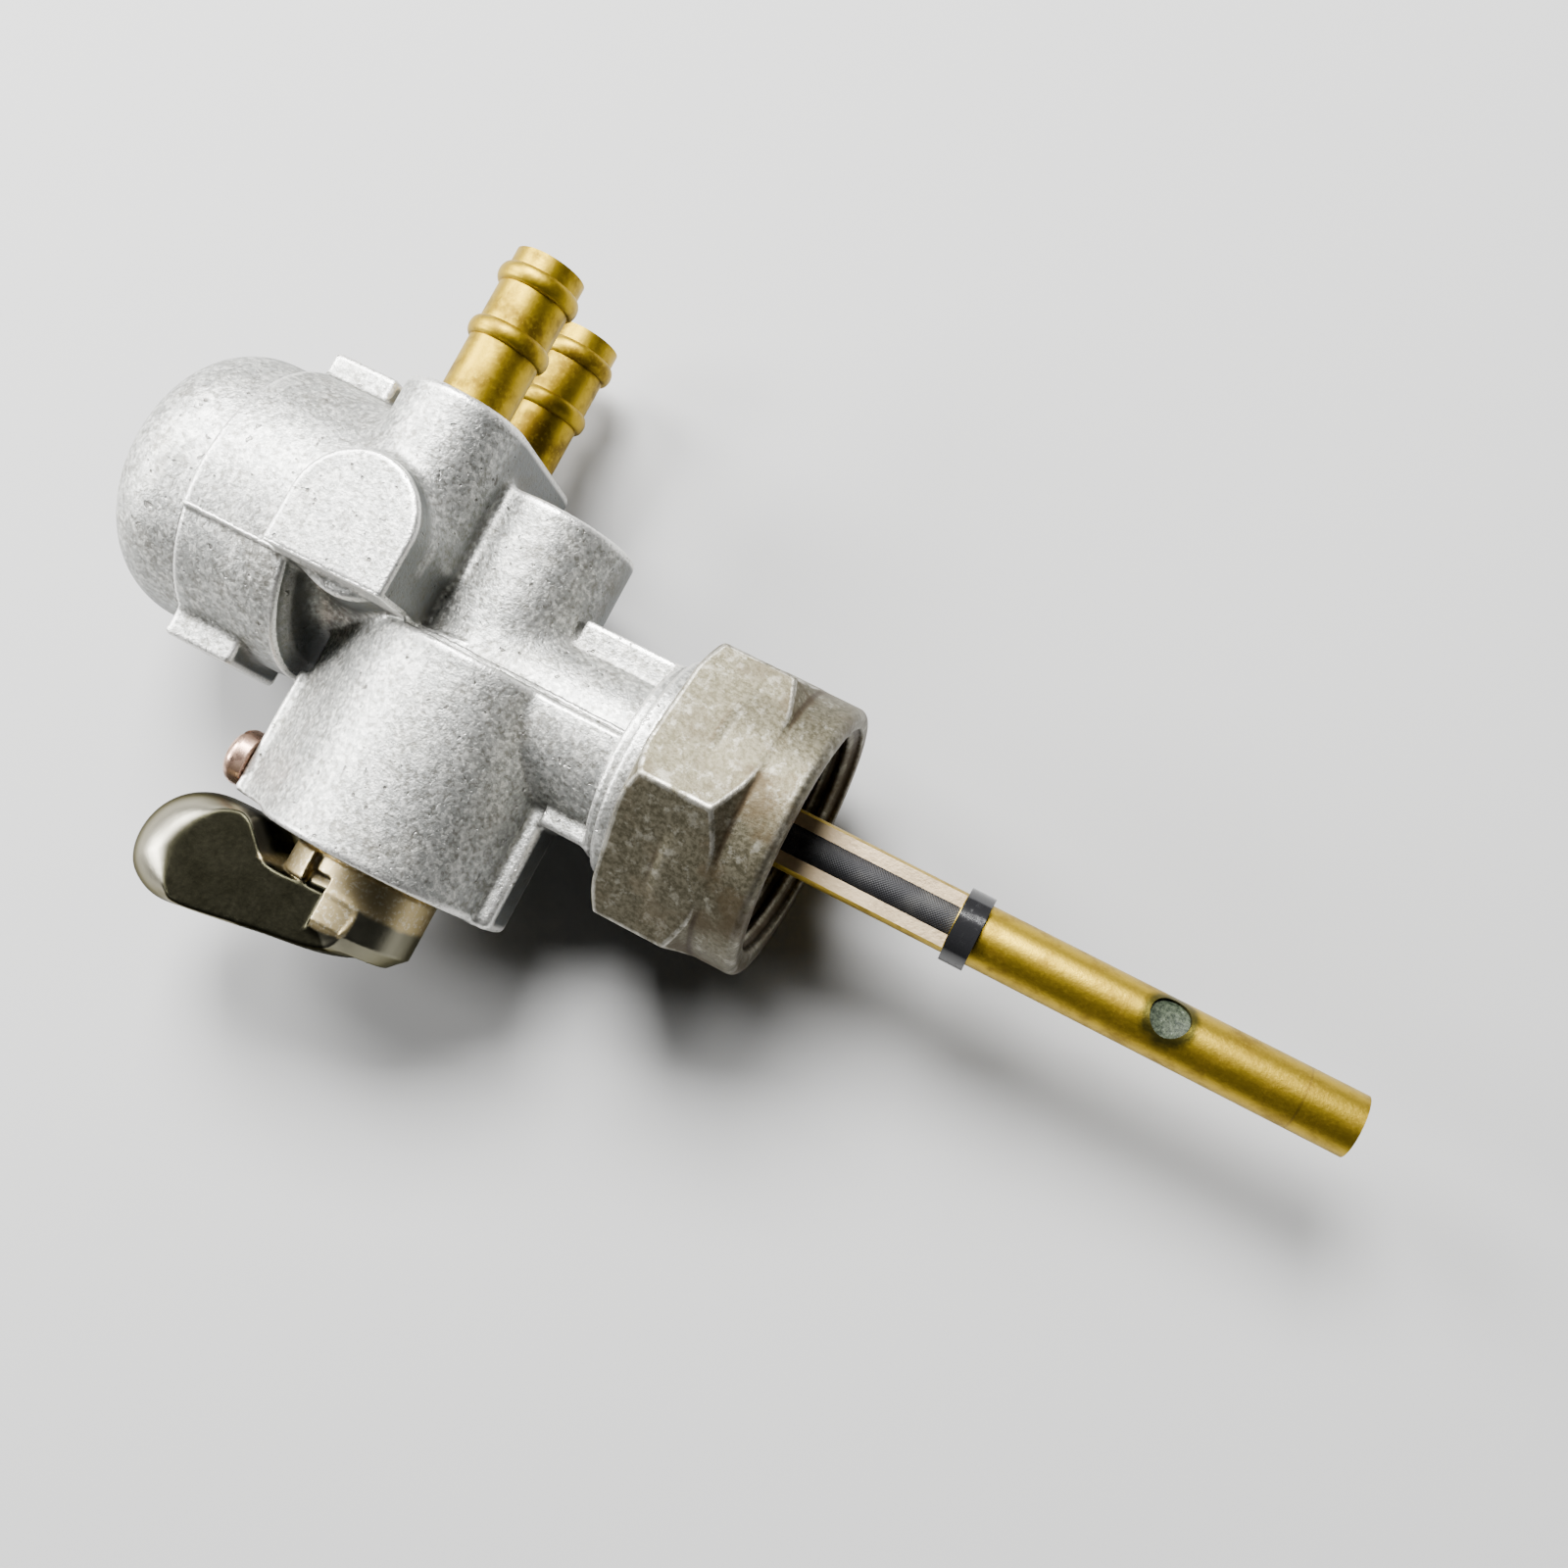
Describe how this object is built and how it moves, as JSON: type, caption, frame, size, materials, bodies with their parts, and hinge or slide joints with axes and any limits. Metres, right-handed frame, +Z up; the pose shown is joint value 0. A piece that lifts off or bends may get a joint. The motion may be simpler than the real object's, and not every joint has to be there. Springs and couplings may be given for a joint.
{
  "type": "fuel tap",
  "caption": "Cast motorcycle fuel tap with a turning lever, hose outlets, a domed cup, a union nut and a slotted brass standpipe.",
  "frame": {"origin": "centre of the union seat, on the standpipe's axis", "axes": "+X along the standpipe towards the tank, +Y out of the hose outlets, +Z up from the bench the loose tap lies on"},
  "size_m": [0.1309, 0.0705, 0.0325],
  "materials": {
    "zinc": "as-cast zinc, satin",
    "nut_steel": "dulled plating, worn",
    "spring_steel": "plain steel",
    "fibre": "compressed fibre",
    "brass": "aged brass",
    "gauze": "dark gauze",
    "black_band": "black moulding",
    "plated_lever": "dull worn plating",
    "rubber": "black rubber",
    "copper_screw": "coppery, tarnished"
  },
  "bodies": {
    "housing": {"valve_body": "zinc", "cup": "zinc", "nut_retaining_ring": "spring_steel", "union_gasket": "fibre", "standpipe": "brass", "strainer_screen": "gauze", "strainer_band": "black_band", "outlet_upper": "brass", "outlet_lower": "brass", "valve_seal": "rubber", "spring_washer": "spring_steel", "lever_screw": "copper_screw", "cup_o_ring": "rubber", "cup_screen": "gauze"},
    "lever": {"lever": "plated_lever", "lever_o_ring": "rubber"},
    "union_nut": {"union_nut": "nut_steel"}
  },
  "joints": [
    {"name": "lever_turn", "type": "hinge", "parent": "housing", "child": "lever", "pos_m": [-0.0262, 0, 0], "axis": [0, 1, 0], "range_deg": [0, 180]},
    {"name": "nut_turn", "type": "hinge", "parent": "housing", "child": "union_nut", "pos_m": [0, 0, 0], "axis": [1, 0, 0], "continuous": true}
  ]
}
